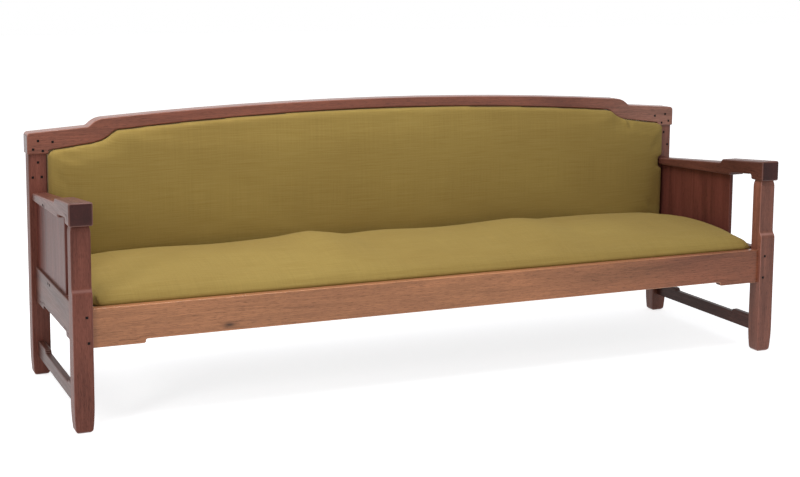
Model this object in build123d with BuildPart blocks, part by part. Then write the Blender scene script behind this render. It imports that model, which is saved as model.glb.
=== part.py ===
from build123d import *
from math import atan2, cos, pi, radians, sin, sqrt, tan
import os

os.makedirs("parts", exist_ok=True)

# The settle stands on the floor at z = 0, its front towards -Y, its middle at x = 0.
# All sizes are in millimetres.

# Whole frame
frame_width = 2430.0  # over the outer faces of the posts
frame_depth = 708.0  # front of the front posts to back of the rear posts
seam = 0.3  # gap left round tenons, tongues and loose fits
overrun = 5.0  # how far a cut runs past the face that it leaves
arris = 3.0  # rounding of the frame's ordinary edges
plain_bevel = 2.0  # along edges that show less

# Posts
post_width = 58.0
front_post_depth = 56.0
rear_post_depth = 51.5
shoulder_setback = 11.5
shoulder_z = 402.0
shoulder_rise = 28.0
head_taper = 4.0
head_taper_height = 22.0
foot_taper = 4.5
foot_taper_height = 88.0
foot_round = 13.0
head_tenon_width = 30.0
head_tenon_depth = 20.0
head_tenon_length = 36.0

# Crest rail
crest_overhang = 4.0
crest_front_reveal = 7.0
crest_back_reveal = 5.0
crest_bottom_z = 726.0
crest_height = 142.5  # at the middle of the arch, above the level of the post heads
crest_middle_height = 33.5
crest_arch_rise = 33.5
crest_step_height = 26.5
crest_step_run = 57.0
crest_step_swell = 4  # the step's upper arc against its lower one
crest_shoulder_run = 192.0
crest_end_round = 12.0
crest_arris = 4.0
crest_lip = 6.0  # the crest's low end runs this far past the post's inner face
crest_lip_height = 12.0
crest_lip_round = 4.5
crest_bay_run = 143.0
crest_bay_rise = 18.0
crest_lift_run = 84.0
crest_lift_rise = 40.0
crest_lift_swell = 1 / 3

# Long rails
rail_bottom_z = 246.5
rail_top_z = 361.5
rail_lift = 12.5
rail_lift_run = 12.0
rail_ear = 149.0
front_rail_setback = 12.5
front_rail_thickness = 28.0
rear_rail_setback = 7.5
rear_rail_thickness = 26.0
long_tenon_thickness = 12.0
long_tenon_length = 22.0
tenon_shoulder = 15.0  # the rail's tenons are this much lower than the rail, top and bottom

# Carved lines that follow the sweeps
groove_line_width = 1.8
groove_line_depth = 1.2
groove_line_rise = 15.0  # above the lower edge, at the outer end
groove_line_step = 7.0
groove_line_step_run = 7.0
groove_line_outer = 58.0
groove_line_inner = 42.0
groove_line_lead = 9.0  # the line's step comes this much before the edge's

# Side rails and stretchers
side_rail_inset = 15.0
side_rail_thickness = 28.0
side_ear = 116.0
side_tenon_thickness = 10.0
side_tenon_length = 28.0
stretcher_inset = 17.0
stretcher_thickness = 20.0
stretcher_bottom_z = 64.0
stretcher_height = 51.0
stretcher_dip = 10.0
stretcher_dip_run = 14.0
stretcher_tenon_thickness = 8.0
stretcher_tenon_shoulder = 8.0

# Arms
arm_overhang = 6.0
arm_rear_inset = 9.0
arm_block_depth = 66.0
arm_drop = 55.0  # from the level of the rear post heads down to the top of the arm's block
arm_block_height = 69.0
arm_fall = tan(radians(5))
arm_step_start = 232.0
arm_step_run = 22.0
arm_step_drop = 12.0
arm_notch_rise = 17.0
arm_notch_round = 7.0
arm_lift_end = 195.0
arm_lift_run = 13.0
arm_lift_rise = 10.5
arm_rear_thickness = 25.0
arm_arris = 6.5
arm_line_rise = 13.0  # the carved line runs this far above the notch
arm_line_start = 73.0
arm_line_turn = 42.0
arm_line_turn_size = 14.0
arm_line_depth = 2.4
arm_tenon_thickness = 12.0
arm_tenon_height = 12.0

# Side panels
panel_thickness = 14.0
panel_inset = 24.0
panel_gap = 160.0  # open space between the front post and the panel
groove_depth = 8.0

# Square plugs over the joint pins
plug_size = 7.5
plug_depth = 9.0
plug_stand = 1.0
plug_bevel = 0.8
plug_room = 0.15
panel_plug_spread = 26.0
rail_plug_edge = 13.5
arm_plug_edge = 8.5
# Each row gives the distance in from the frame's end, and the height above a level of the frame
crest_plugs = ((31.0, 43.5), (77.0, 38.5), (15.0, 16.5), (45.5, 11.0))
rear_post_plugs = ((30.5, -26.5), (13.0, -74.5), (41.5, -74.0))
front_post_plugs = ((40.0, -21.5), (44.5, -96.5))

# Seat carcass
bearer_thickness = 22.0
bearer_height = 70.0
bearer_tenon_length = 12.0
bearer_tenon_shoulder = 16.0
cleat_size = 25.0
cleat_top_z = 330.0
corner_block_reach = 70.0
corner_block_height = 34.0

# Loose seat
seat_play = 2.0
seat_frame_thickness = 26.0
seat_rail_width = 60.0
seat_tenon_thickness = 10.0
seat_tenon_length = 25.0
seat_tenon_width = 40.0
dust_cloth = 1.0

# Loose back
back_frame_thickness = 22.0
back_member_width = 60.0
back_member_tenon = 20.0
back_play = 1.5
back_setback = 3.3
back_cloth = 1.2
batten_size = 20.0
batten_head_gap = 64.5

# Webbing
strap_width = 50.0
strap_thickness = 1.3
strap_layer_gap = 0.2
seat_strap_pitch = 62.0
back_strap_pitch = 95.0

# Seat cushion
cushion_bottom_rise = 3.0  # above the seat frame, over two layers of webbing
cushion_front_gap = 1.0
cushion_back_gap = 3.5
cushion_end_gap = 5.0
seat_crown = 82.0
seat_crown_fall = 28.0
seat_crown_hold = 8  # the higher, the nearer to its ends the seat keeps its crown
seat_humps = ((-330.0, 17.0), (430.0, 11.0))  # place along the seat, and height
seat_hump_half = 130.0
seat_edge_height = 36.0
seat_edge_bulge = 4.5
seat_back_height = 50.0
seat_back_fall = 14.0
seat_front_lean = 20.0
seat_end_round = 34.0
seat_crown_share = 0.52  # where the crown is highest, from front to back

# Back cushion
back_pad = 40.0
back_pad_crown = 5.0
back_pad_end = 28.0
back_pad_low_gap = 0.5
back_edge_round = 14.0
back_corner_round = 18.0
back_pad_sweep = 240.0
back_pad_sweep_share = 0.25

# Places worked out from the sizes above
half_width = frame_width / 2
crest_middle_z = crest_bottom_z + crest_height
post_inner = half_width - post_width
front = -(frame_depth + crest_back_reveal - plug_stand) / 2
front_post_back = front + front_post_depth
back = front + frame_depth
rear_post_front = back - rear_post_depth
front_rail_face = front + front_rail_setback
front_rail_back = front_rail_face + front_rail_thickness
rear_rail_face = rear_post_front + rear_rail_setback
rear_rail_back = rear_rail_face + rear_rail_thickness
bearer_x = post_inner / 3
side_rail_outer = half_width - side_rail_inset
side_rail_inner = side_rail_outer - side_rail_thickness
panel_outer = half_width - panel_inset
panel_inner = panel_outer - panel_thickness
panel_front = front_post_back + panel_gap
panel_middle = (panel_front + rear_post_front) / 2
hands = ((-1, "left"), (1, "right"))


def span_box(x_span, y_span, z_span, mode=Mode.ADD):
    """Add or cut a block that lies between three pairs of limits."""
    spans = (x_span, y_span, z_span)
    with Locations(tuple((low + high) / 2 for low, high in spans)):
        Box(*(abs(high - low) for low, high in spans), mode=mode)


def grown(span, room):
    """The same pair of limits with room added at both ends."""
    low, high = min(span), max(span)
    return (low - room, high + room)


def middle_span(centre, size):
    return (centre - size / 2, centre + size / 2)


def sweep_line(start, start_way, end, end_way, swell=1):
    """Two arcs that leave start and reach end along the given ways, the second swell as large."""
    start, end = Vector(*start), Vector(*end)
    leave, arrive = Vector(*start_way).normalized(), Vector(*end_way).normalized()
    across = end - start
    along = across.dot(leave + arrive * swell)
    bend = 2 * swell * (1 - leave.dot(arrive))
    reach = across.dot(across) / (along + sqrt(along**2 + bend * across.dot(across)))
    meeting = ((start + leave * reach) * swell + end - arrive * reach * swell) / (1 + swell)
    TangentArc(start, meeting, tangent=leave)
    TangentArc(end, meeting, tangent=-arrive)


def arch_lean(half, rise):
    """The angle at which a round arch of this half width and rise meets its ends."""
    return 2 * atan2(rise, half)


def arch_drop(x, half, rise):
    """How far the arch lies below its middle at a distance x from the middle."""
    radius = (half**2 + rise**2) / (2 * rise)
    return radius - sqrt(radius**2 - x**2)


# Outline of the crest's lower edge, which the loose back and its cushion follow
under_middle_z = crest_middle_z - crest_middle_height
bay_end_x = post_inner - crest_lip
bay_start_x = bay_end_x - crest_bay_run
under_arch_x = bay_start_x - crest_lift_run
bay_end_z = crest_bottom_z + crest_lip_height
bay_start_z = bay_end_z + crest_bay_rise
under_arch_z = bay_start_z + crest_lift_rise
under_rise = under_middle_z - under_arch_z
under_lean = arch_lean(under_arch_x, under_rise)


def under_edge(end_x, drop):
    """The crest's lower edge from -end_x to end_x, set down by drop."""
    bay_lean = crest_bay_rise / crest_bay_run
    end_z = bay_end_z - (end_x - bay_end_x) * bay_lean - drop
    for side in (-1, 1):
        Line((side * end_x, end_z), (side * bay_start_x, bay_start_z - drop))
        sweep_line(
            (side * bay_start_x, bay_start_z - drop),
            (-side, bay_lean),
            (side * under_arch_x, under_arch_z - drop),
            (-side * cos(under_lean), sin(under_lean)),
            crest_lift_swell,
        )
    ThreePointArc(
        (-under_arch_x, under_arch_z - drop),
        (0, under_middle_z - drop),
        (under_arch_x, under_arch_z - drop),
    )


# Joints that cut into the posts
rail_tenon_z = (rail_bottom_z + tenon_shoulder, rail_top_z - tenon_shoulder)
front_tenon_y = middle_span(front_rail_face + front_rail_thickness / 2, long_tenon_thickness)
rear_tenon_y = middle_span(rear_rail_face + rear_rail_thickness / 2, long_tenon_thickness)
long_tenon_x = (post_inner, post_inner + long_tenon_length)
side_tenon_x = middle_span(side_rail_outer - side_rail_thickness / 2, side_tenon_thickness)
stretcher_top_z = stretcher_bottom_z + stretcher_height
stretcher_outer = half_width - stretcher_inset
stretcher_tenon_x = middle_span(
    stretcher_outer - stretcher_thickness / 2, stretcher_tenon_thickness
)
stretcher_tenon_z = (
    stretcher_bottom_z + stretcher_tenon_shoulder,
    stretcher_top_z - stretcher_dip - stretcher_tenon_shoulder,
)
arm_outer_rear = half_width - arm_rear_inset
arm_top_z = crest_bottom_z - arm_drop
arm_bottom_z = arm_top_z - arm_block_height
arm_rear_top_z = arm_top_z - arm_step_drop - (rear_post_front - front) * arm_fall
arm_rear_bottom_z = arm_rear_top_z - arm_rear_thickness
arm_tenon_x = middle_span((arm_outer_rear + post_inner) / 2, arm_tenon_thickness)
arm_tenon_top_z = arm_rear_top_z - (arm_rear_thickness - groove_depth - arm_tenon_height) / 2
arm_tenon_z = (arm_tenon_top_z - arm_tenon_height, arm_tenon_top_z)
front_tenon_centre_y = (front + shoulder_setback + front_post_back) / 2
rear_tenon_centre_y = (rear_post_front + back) / 2
post_middle_x = half_width - post_width / 2
panel_x = (panel_inner, panel_outer)


def plug_row(side, places, level_z, face_y, mode, room):
    """Square plugs, or their holes, driven into a face that looks to the front."""
    for inset, height in places:
        span_box(
            middle_span(side * (half_width - inset), plug_size + 2 * room),
            (face_y - (plug_stand if mode == Mode.ADD else overrun), face_y + plug_depth + room),
            middle_span(level_z + height, plug_size + 2 * room),
            mode=mode,
        )


def stick_edges(part):
    """The long edges of an upright stick."""
    return part.edges().filter_by(lambda edge: abs((edge % 0.5).Z) > foot_taper / post_width)


def foot_line(low, high):
    """The outline of a foot that draws in towards the floor between two faces."""
    TangentArc((low, foot_taper_height), (low + foot_taper, 0), tangent=(0, -1))
    Line((low + foot_taper, 0), (high - foot_taper, 0))
    TangentArc((high, foot_taper_height), (high - foot_taper, 0), tangent=(0, -1))


def round_sole():
    """Round the two lowest corners of the outline being drawn."""
    fillet(vertices().group_by(Axis.Y)[0], radius=foot_round)


def narrow_to_front_view(side, top_z, taper):
    """Cut the stick to its outline seen from the front."""
    low, high = sorted((side * half_width, side * post_inner))
    straight_z = top_z - head_taper_height
    with BuildSketch(Plane.XZ.offset(-back - overrun)) as front_view:
        with BuildLine():
            foot_line(low, high)
            for edge, inward in ((low, taper), (high, -taper)):
                Line((edge, foot_taper_height), (edge, straight_z))
                if taper:
                    TangentArc((edge, straight_z), (edge + inward, top_z), tangent=(0, 1))
                else:
                    Line((edge, straight_z), (edge, top_z))
            Line((low + taper, top_z), (high - taper, top_z))
        make_face()
        round_sole()
    extrude(front_view.sketch, amount=frame_depth + 2 * overrun, mode=Mode.INTERSECT)


def side_mortises(side, y_span):
    """Mortises for the side rail and the stretcher."""
    for x_span, z_span in ((side_tenon_x, rail_tenon_z), (stretcher_tenon_x, stretcher_tenon_z)):
        span_box(grown([side * x for x in x_span], seam), y_span, grown(z_span, seam),
                 mode=Mode.SUBTRACT)


# Front posts: square below, set back above a swept shoulder, tenoned up into the arm
for side, hand in hands:
    upper_front = front + shoulder_setback
    head_low_z = arm_bottom_z - head_taper_height
    with BuildPart() as front_post:
        with BuildSketch(Plane.YZ.offset(min(side * half_width, side * post_inner))):
            with BuildLine():
                foot_line(front, front_post_back)
                Line((front, foot_taper_height), (front, shoulder_z))
                sweep_line((front, shoulder_z), (0, 1),
                           (upper_front, shoulder_z + shoulder_rise), (0, 1))
                Line((upper_front, shoulder_z + shoulder_rise), (upper_front, head_low_z))
                TangentArc((upper_front, head_low_z), (upper_front + head_taper, arm_bottom_z),
                           tangent=(0, 1))
                Line((upper_front + head_taper, arm_bottom_z),
                     (front_post_back - head_taper, arm_bottom_z))
                TangentArc((front_post_back, head_low_z),
                           (front_post_back - head_taper, arm_bottom_z), tangent=(0, 1))
                Line((front_post_back, head_low_z), (front_post_back, foot_taper_height))
            make_face()
            round_sole()
        extrude(amount=post_width)
        narrow_to_front_view(side, arm_bottom_z, head_taper)
        fillet(stick_edges(front_post), radius=arris)
        span_box(middle_span(side * post_middle_x, head_tenon_width),
                 middle_span(front_tenon_centre_y, head_tenon_depth),
                 (arm_bottom_z - overrun, arm_bottom_z + head_tenon_length))
        span_box(grown([side * x for x in long_tenon_x], seam), grown(front_tenon_y, seam),
                 grown(rail_tenon_z, seam), mode=Mode.SUBTRACT)
        side_mortises(side, (front_post_back - side_tenon_length - seam,
                             front_post_back + overrun))
        plug_row(side, front_post_plugs, rail_top_z, front, Mode.SUBTRACT, plug_room)
    front_post.part.label = f"front_post_{hand}"
    export_step(front_post.part, f"parts/front_post_{hand}.step")

# Rear posts: straight, tenoned up into the crest, grooved for the panel
for side, hand in hands:
    with BuildPart() as rear_post:
        with BuildSketch(Plane.YZ.offset(min(side * half_width, side * post_inner))):
            with BuildLine():
                foot_line(rear_post_front, back)
                Polyline((rear_post_front, foot_taper_height), (rear_post_front, crest_bottom_z),
                         (back, crest_bottom_z), (back, foot_taper_height))
            make_face()
            round_sole()
        extrude(amount=post_width)
        narrow_to_front_view(side, crest_bottom_z, 0)
        fillet(stick_edges(rear_post), radius=arris)
        span_box(middle_span(side * post_middle_x, head_tenon_width),
                 middle_span(rear_tenon_centre_y, head_tenon_depth),
                 (crest_bottom_z - overrun, crest_bottom_z + head_tenon_length))
        span_box(grown([side * x for x in long_tenon_x], seam), grown(rear_tenon_y, seam),
                 grown(rail_tenon_z, seam), mode=Mode.SUBTRACT)
        mortise_y = (rear_post_front - overrun, rear_post_front + side_tenon_length + seam)
        side_mortises(side, mortise_y)
        span_box(grown([side * x for x in arm_tenon_x], seam), mortise_y,
                 grown(arm_tenon_z, seam), mode=Mode.SUBTRACT)
        span_box(grown([side * x for x in panel_x], seam),
                 (rear_post_front - overrun, rear_post_front + groove_depth + seam),
                 (rail_top_z - groove_depth, arm_rear_bottom_z + groove_depth),
                 mode=Mode.SUBTRACT)
        plug_row(side, rear_post_plugs, crest_bottom_z, rear_post_front, Mode.SUBTRACT,
                 plug_room)
    rear_post.part.label = f"rear_post_{hand}"
    export_step(rear_post.part, f"parts/rear_post_{hand}.step")

# Crest rail: one board across both posts, its arch stepped up at each end
crest_half = half_width + crest_overhang
crest_front = rear_post_front - crest_front_reveal
crest_back = back + crest_back_reveal
shoulder_x = crest_half - crest_shoulder_run
arch_x = shoulder_x - crest_step_run
arch_z = crest_middle_z - crest_arch_rise
shoulder_top_z = arch_z - crest_step_height
crest_lean = arch_lean(arch_x, crest_arch_rise)
end_top_z = shoulder_top_z - crest_shoulder_run * tan(crest_lean)
with BuildPart() as crest_rail:
    with BuildSketch(Plane.XZ.offset(-crest_back)):
        with BuildLine():
            under_edge(bay_end_x, 0)
            for side in (-1, 1):
                Polyline((side * bay_end_x, bay_end_z), (side * bay_end_x, crest_bottom_z),
                         (side * crest_half, crest_bottom_z), (side * crest_half, end_top_z),
                         (side * shoulder_x, shoulder_top_z))
                inward = (-side * cos(crest_lean), sin(crest_lean))
                sweep_line((side * shoulder_x, shoulder_top_z), inward,
                           (side * arch_x, arch_z), inward, crest_step_swell)
            ThreePointArc((-arch_x, arch_z), (0, crest_middle_z), (arch_x, arch_z))
        make_face()
        fillet(vertices().filter_by(lambda corner: corner.Y > bay_end_z + seam
                                    and abs(corner.X) > bay_end_x), radius=crest_end_round)
        fillet(vertices().filter_by(lambda corner: corner.Y < bay_end_z + seam),
               radius=crest_lip_round)
    extrude(amount=crest_back - crest_front)
    broad_faces = crest_rail.faces().filter_by(Axis.Y).sort_by(Axis.Y)
    fillet(broad_faces[0].edges(), radius=crest_arris)
    chamfer(broad_faces[-1].edges(), length=plain_bevel)
    for side in (-1, 1):
        span_box(grown(middle_span(side * post_middle_x, head_tenon_width), seam),
                 grown(middle_span(rear_tenon_centre_y, head_tenon_depth), seam),
                 (crest_bottom_z - overrun, crest_bottom_z + head_tenon_length + seam),
                 mode=Mode.SUBTRACT)
        plug_row(side, crest_plugs, crest_bottom_z, crest_front, Mode.SUBTRACT, plug_room)
crest_rail.part.label = "crest_rail"
export_step(crest_rail.part, "parts/crest_rail.step")


def lifted_rail(low, high, ear):
    """The outline of a rail whose lower edge lifts in a small sweep inside each end."""
    Line((low, rail_top_z), (high, rail_top_z))
    for end, way in ((low, 1), (high, -1)):
        ear_end = end + way * ear
        lifted = ear_end + way * rail_lift_run
        Polyline((end, rail_top_z), (end, rail_bottom_z), (ear_end, rail_bottom_z))
        sweep_line((ear_end, rail_bottom_z), (way, 0), (lifted, rail_bottom_z + rail_lift), (way, 0))
    Line((low + ear + rail_lift_run, rail_bottom_z + rail_lift),
         (high - ear - rail_lift_run, rail_bottom_z + rail_lift))


def carved_line(end, way, ear):
    """A line cut above the sweep of a rail's ear, stepped as the sweep is."""
    step_end = end + way * (ear - groove_line_lead)
    step_start = step_end - way * groove_line_step_run
    low_z = rail_bottom_z + groove_line_rise
    high_z = low_z + groove_line_step
    Line((step_start - way * groove_line_outer, low_z), (step_start, low_z))
    sweep_line((step_start, low_z), (way, 0), (step_end, high_z), (way, 0))
    Line((step_end, high_z), (step_end + way * groove_line_inner, high_z))


# Front seat rail, with stub mortises at the back for the bearers
bearer_z = (cleat_top_z - dust_cloth - bearer_height, cleat_top_z - dust_cloth)
bearer_tenon_z = (bearer_z[0] + bearer_tenon_shoulder, bearer_z[1] - bearer_tenon_shoulder)
bearer_tenon_thickness = bearer_thickness / 2


def bearer_mortises(face_y, way):
    """Stub mortises for the two bearers in a long rail's inner face."""
    for side in (-1, 1):
        span_box(middle_span(side * bearer_x, bearer_tenon_thickness + 2 * seam),
                 (face_y - way * overrun, face_y + way * (bearer_tenon_length + seam)),
                 grown(bearer_tenon_z, seam), mode=Mode.SUBTRACT)


def long_tenons(y_span):
    """The tenons at both ends of a long rail."""
    for side in (-1, 1):
        span_box((side * (post_inner - seam), side * long_tenon_x[1]), y_span, rail_tenon_z)


with BuildPart() as front_seat_rail:
    with BuildSketch(Plane.XZ.offset(-front_rail_back)):
        with BuildLine():
            lifted_rail(-post_inner, post_inner, rail_ear)
        make_face()
    extrude(amount=front_rail_thickness)
    long_edges = front_seat_rail.faces().filter_by(Axis.Y).edges().filter_by(Axis.Z, reverse=True)
    fillet(long_edges.group_by(Axis.Z)[-1], radius=arris)
    chamfer(long_edges - long_edges.group_by(Axis.Z)[-1], length=plain_bevel)
    for side in (-1, 1):
        with BuildSketch(Plane.XZ.offset(-front_rail_face)):
            with BuildLine():
                carved_line(side * post_inner, -side, rail_ear)
            trace(line_width=groove_line_width)
        extrude(amount=-groove_line_depth, mode=Mode.SUBTRACT)
    long_tenons(front_tenon_y)
    bearer_mortises(front_rail_back, -1)
front_seat_rail.part.label = "front_seat_rail"
export_step(front_seat_rail.part, "parts/front_seat_rail.step")

with BuildPart() as rear_seat_rail:
    span_box((-post_inner, post_inner), (rear_rail_face, rear_rail_back),
             (rail_bottom_z, rail_top_z))
    fillet(rear_seat_rail.edges().filter_by(Axis.X), radius=arris)
    long_tenons(rear_tenon_y)
    bearer_mortises(rear_rail_face, 1)
rear_seat_rail.part.label = "rear_seat_rail"
export_step(rear_seat_rail.part, "parts/rear_seat_rail.step")


def side_tenons(side, x_span, z_span):
    """The tenons at both ends of a side rail or stretcher."""
    for face, way in ((front_post_back, -1), (rear_post_front, 1)):
        span_box([side * x for x in x_span],
                 (face - way * seam, face + way * side_tenon_length), z_span)


def panel_plugs(side, face_x, centre_z, mode, room):
    """The pair of plugs that pin the panel's tongue, driven in from the outside."""
    for way in (-1, 1):
        stand = plug_stand if mode == Mode.ADD else overrun
        span_box((side * (face_x + stand), side * (face_x - plug_depth - room)),
                 middle_span(panel_middle + way * panel_plug_spread / 2, plug_size + 2 * room),
                 middle_span(centre_z, plug_size + 2 * room), mode=mode)


# Side rails, grooved on top for the panel
rail_plug_z = rail_top_z - rail_plug_edge
for side, hand in hands:
    with BuildPart() as side_rail:
        with BuildSketch(Plane.YZ.offset(min(side * side_rail_outer, side * side_rail_inner))):
            with BuildLine():
                lifted_rail(front_post_back, rear_post_front, side_ear)
            make_face()
        extrude(amount=side_rail_thickness)
        long_edges = side_rail.faces().filter_by(Axis.X).edges().filter_by(Axis.Z, reverse=True)
        fillet(long_edges.group_by(Axis.Z)[-1], radius=arris)
        chamfer(long_edges - long_edges.group_by(Axis.Z)[-1], length=plain_bevel)
        for end, way in ((front_post_back, 1), (rear_post_front, -1)):
            with BuildSketch(Plane.YZ.offset(side * side_rail_outer)):
                with BuildLine():
                    carved_line(end, way, side_ear)
                trace(line_width=groove_line_width)
            extrude(amount=-side * groove_line_depth, mode=Mode.SUBTRACT)
        span_box(grown([side * x for x in panel_x], seam),
                 (panel_front - seam, rear_post_front + overrun),
                 (rail_top_z - groove_depth, rail_top_z + overrun), mode=Mode.SUBTRACT)
        panel_plugs(side, side_rail_outer, rail_plug_z, Mode.SUBTRACT, plug_room)
        side_tenons(side, side_tenon_x, rail_tenon_z)
    side_rail.part.label = f"side_rail_{hand}"
    export_step(side_rail.part, f"parts/side_rail_{hand}.step")

# Side stretchers, dipped along the middle of the top edge
for side, hand in hands:
    inner_face = stretcher_outer - stretcher_thickness
    with BuildPart() as side_stretcher:
        with BuildSketch(Plane.YZ.offset(min(side * stretcher_outer, side * inner_face))):
            with BuildLine():
                for end, way in ((front_post_back, 1), (rear_post_front, -1)):
                    dip_start = end + way * side_ear
                    dip_end = dip_start + way * stretcher_dip_run
                    dipped_z = stretcher_top_z - stretcher_dip
                    Polyline((end, stretcher_bottom_z), (end, stretcher_top_z),
                             (dip_start, stretcher_top_z))
                    sweep_line((dip_start, stretcher_top_z), (way, 0),
                               (dip_end, dipped_z), (way, 0))
                Line((front_post_back, stretcher_bottom_z), (rear_post_front, stretcher_bottom_z))
                Line((front_post_back + side_ear + stretcher_dip_run, dipped_z),
                     (rear_post_front - side_ear - stretcher_dip_run, dipped_z))
            make_face()
        extrude(amount=stretcher_thickness)
        long_edges = side_stretcher.faces().filter_by(Axis.X).edges()
        chamfer(long_edges.filter_by(Axis.Z, reverse=True), length=plain_bevel)
        side_tenons(side, stretcher_tenon_x, stretcher_tenon_z)
    side_stretcher.part.label = f"side_stretcher_{hand}"
    export_step(side_stretcher.part, f"parts/side_stretcher_{hand}.step")


# Arms: a block over the front post, a stepped top that falls to the rear, swept in at the side
arm_way = (1, -arm_fall)
arm_inner_front = post_inner - arm_overhang
arm_outer_front = half_width + arm_overhang
step_top_z = arm_top_z - arm_step_start * arm_fall
step_end = arm_step_start + arm_step_run
step_low_z = arm_top_z - step_end * arm_fall - arm_step_drop
notch_top_z = arm_bottom_z + arm_notch_rise
lift_start = arm_lift_end - arm_lift_run
notch_end_z = notch_top_z - (lift_start - arm_block_depth) * arm_fall
arm_under_front_z = notch_end_z - arm_lift_rise
under_way = (rear_post_front - front - arm_lift_end, arm_rear_bottom_z - arm_under_front_z)


def arm_under(y):
    """Height of the arm's underside behind its lift, where the panel enters."""
    return arm_under_front_z + (y - front - arm_lift_end) * under_way[1] / under_way[0]


arm_outer_middle = arm_outer_front + (arm_outer_rear - arm_outer_front) * (
    (panel_middle - front) / (rear_post_front - front))
arm_plug_z = arm_under(panel_middle) + arm_plug_edge
for side, hand in hands:
    with BuildPart() as arm:
        with BuildSketch(Plane.YZ.offset(min(side * arm_inner_front, side * arm_outer_front))):
            with BuildLine():
                Polyline((front + arm_block_depth, notch_top_z),
                         (front + arm_block_depth, arm_bottom_z), (front, arm_bottom_z),
                         (front, arm_top_z), (front + arm_step_start, step_top_z))
                sweep_line((front + arm_step_start, step_top_z), arm_way,
                           (front + step_end, step_low_z), arm_way)
                Polyline((front + step_end, step_low_z), (rear_post_front, arm_rear_top_z),
                         (rear_post_front, arm_rear_bottom_z),
                         (front + arm_lift_end, arm_under_front_z))
                sweep_line((front + lift_start, notch_end_z), arm_way,
                           (front + arm_lift_end, arm_under_front_z), under_way)
                Line((front + lift_start, notch_end_z), (front + arm_block_depth, notch_top_z))
            make_face()
            fillet(vertices().filter_by(lambda corner: abs(corner.X - front - arm_block_depth)
                                        < seam), radius=arm_notch_round)
        extrude(amount=arm_outer_front - arm_inner_front)
        with BuildSketch(Plane.XY.offset(arm_rear_bottom_z - overrun)):
            with BuildLine():
                Polyline((side * arm_inner_front, front), (side * arm_outer_front, front),
                         (side * arm_outer_rear, rear_post_front),
                         (side * post_inner, rear_post_front), close=True)
            make_face()
        extrude(amount=arm_top_z - arm_rear_bottom_z + 2 * overrun, mode=Mode.INTERSECT)
        cheeks = arm.faces().filter_by(lambda face: abs(face.normal_at().X) > cos(radians(10)))
        round_edges = cheeks.edges().filter_by(
            lambda edge: edge.center().Y < rear_post_front - seam)
        fillet(round_edges + arm.faces().sort_by(Axis.Y)[0].edges().filter_by(Axis.X),
               radius=arm_arris)
        span_box(grown(middle_span(side * post_middle_x, head_tenon_width), seam),
                 grown(middle_span(front_tenon_centre_y, head_tenon_depth), seam),
                 (arm_bottom_z - overrun, arm_bottom_z + head_tenon_length + seam),
                 mode=Mode.SUBTRACT)
        with BuildSketch(Plane.YZ.offset(min(side * x for x in panel_x) - seam)):
            with BuildLine():
                groove_end = rear_post_front + overrun
                Polyline((panel_front - seam, arm_under(panel_front - seam) + groove_depth),
                         (groove_end, arm_under(groove_end) + groove_depth),
                         (groove_end, arm_under(groove_end) - overrun),
                         (panel_front - seam, arm_under(panel_front - seam) - overrun),
                         close=True)
            make_face()
        extrude(amount=panel_thickness + 2 * seam, mode=Mode.SUBTRACT)
        panel_plugs(side, arm_outer_middle, arm_plug_z, Mode.SUBTRACT, plug_room)
        for cheek_x, inward in ((arm_outer_front, -1), (arm_inner_front, 1)):
            with BuildSketch(Plane.YZ.offset(side * cheek_x)):
                with BuildLine():
                    line_z = notch_top_z + arm_line_rise
                    turn_y = front + arm_line_turn
                    Line((front + arm_line_start, line_z), (turn_y, line_z))
                    sweep_line((turn_y, line_z), (-1, 0),
                               (turn_y - arm_line_turn_size, line_z - arm_line_turn_size), (0, -1))
                trace(line_width=groove_line_width)
            extrude(amount=side * inward * arm_line_depth, mode=Mode.SUBTRACT)
        span_box([side * x for x in arm_tenon_x],
                 (rear_post_front - seam, rear_post_front + side_tenon_length), arm_tenon_z)
    arm.part.label = f"arm_{hand}"
    export_step(arm.part, f"parts/arm_{hand}.step")

# Side panels: thin boards held in grooves, their front edge free
for side, hand in hands:
    with BuildPart() as side_panel:
        with BuildSketch(Plane.YZ.offset(min(side * x for x in panel_x))):
            with BuildLine():
                panel_end = rear_post_front + groove_depth
                held = groove_depth - seam
                Polyline((panel_front, rail_top_z - held), (panel_end, rail_top_z - held),
                         (panel_end, arm_under(panel_end) + held),
                         (panel_front, arm_under(panel_front) + held), close=True)
            make_face()
        extrude(amount=panel_thickness)
        fillet(side_panel.faces().sort_by(Axis.Y)[0].edges().filter_by(Axis.Z), radius=arris)
    side_panel.part.label = f"side_panel_{hand}"
    export_step(side_panel.part, f"parts/side_panel_{hand}.step")

# Square plugs over the pins, each set in one node
with BuildPart() as crest_plug_set:
    for side in (-1, 1):
        plug_row(side, crest_plugs, crest_bottom_z, crest_front, Mode.ADD, 0)
    chamfer(crest_plug_set.faces().group_by(Axis.Y)[0].edges(), length=plug_bevel)
crest_plug_set.part.label = "crest_plugs"
export_step(crest_plug_set.part, "parts/crest_plugs.step")

with BuildPart() as rear_post_plug_set:
    for side in (-1, 1):
        plug_row(side, rear_post_plugs, crest_bottom_z, rear_post_front, Mode.ADD, 0)
    chamfer(rear_post_plug_set.faces().group_by(Axis.Y)[0].edges(), length=plug_bevel)
rear_post_plug_set.part.label = "rear_post_plugs"
export_step(rear_post_plug_set.part, "parts/rear_post_plugs.step")

with BuildPart() as front_post_plug_set:
    for side in (-1, 1):
        plug_row(side, front_post_plugs, rail_top_z, front, Mode.ADD, 0)
    chamfer(front_post_plug_set.faces().group_by(Axis.Y)[0].edges(), length=plug_bevel)
front_post_plug_set.part.label = "front_post_plugs"
export_step(front_post_plug_set.part, "parts/front_post_plugs.step")

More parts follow.
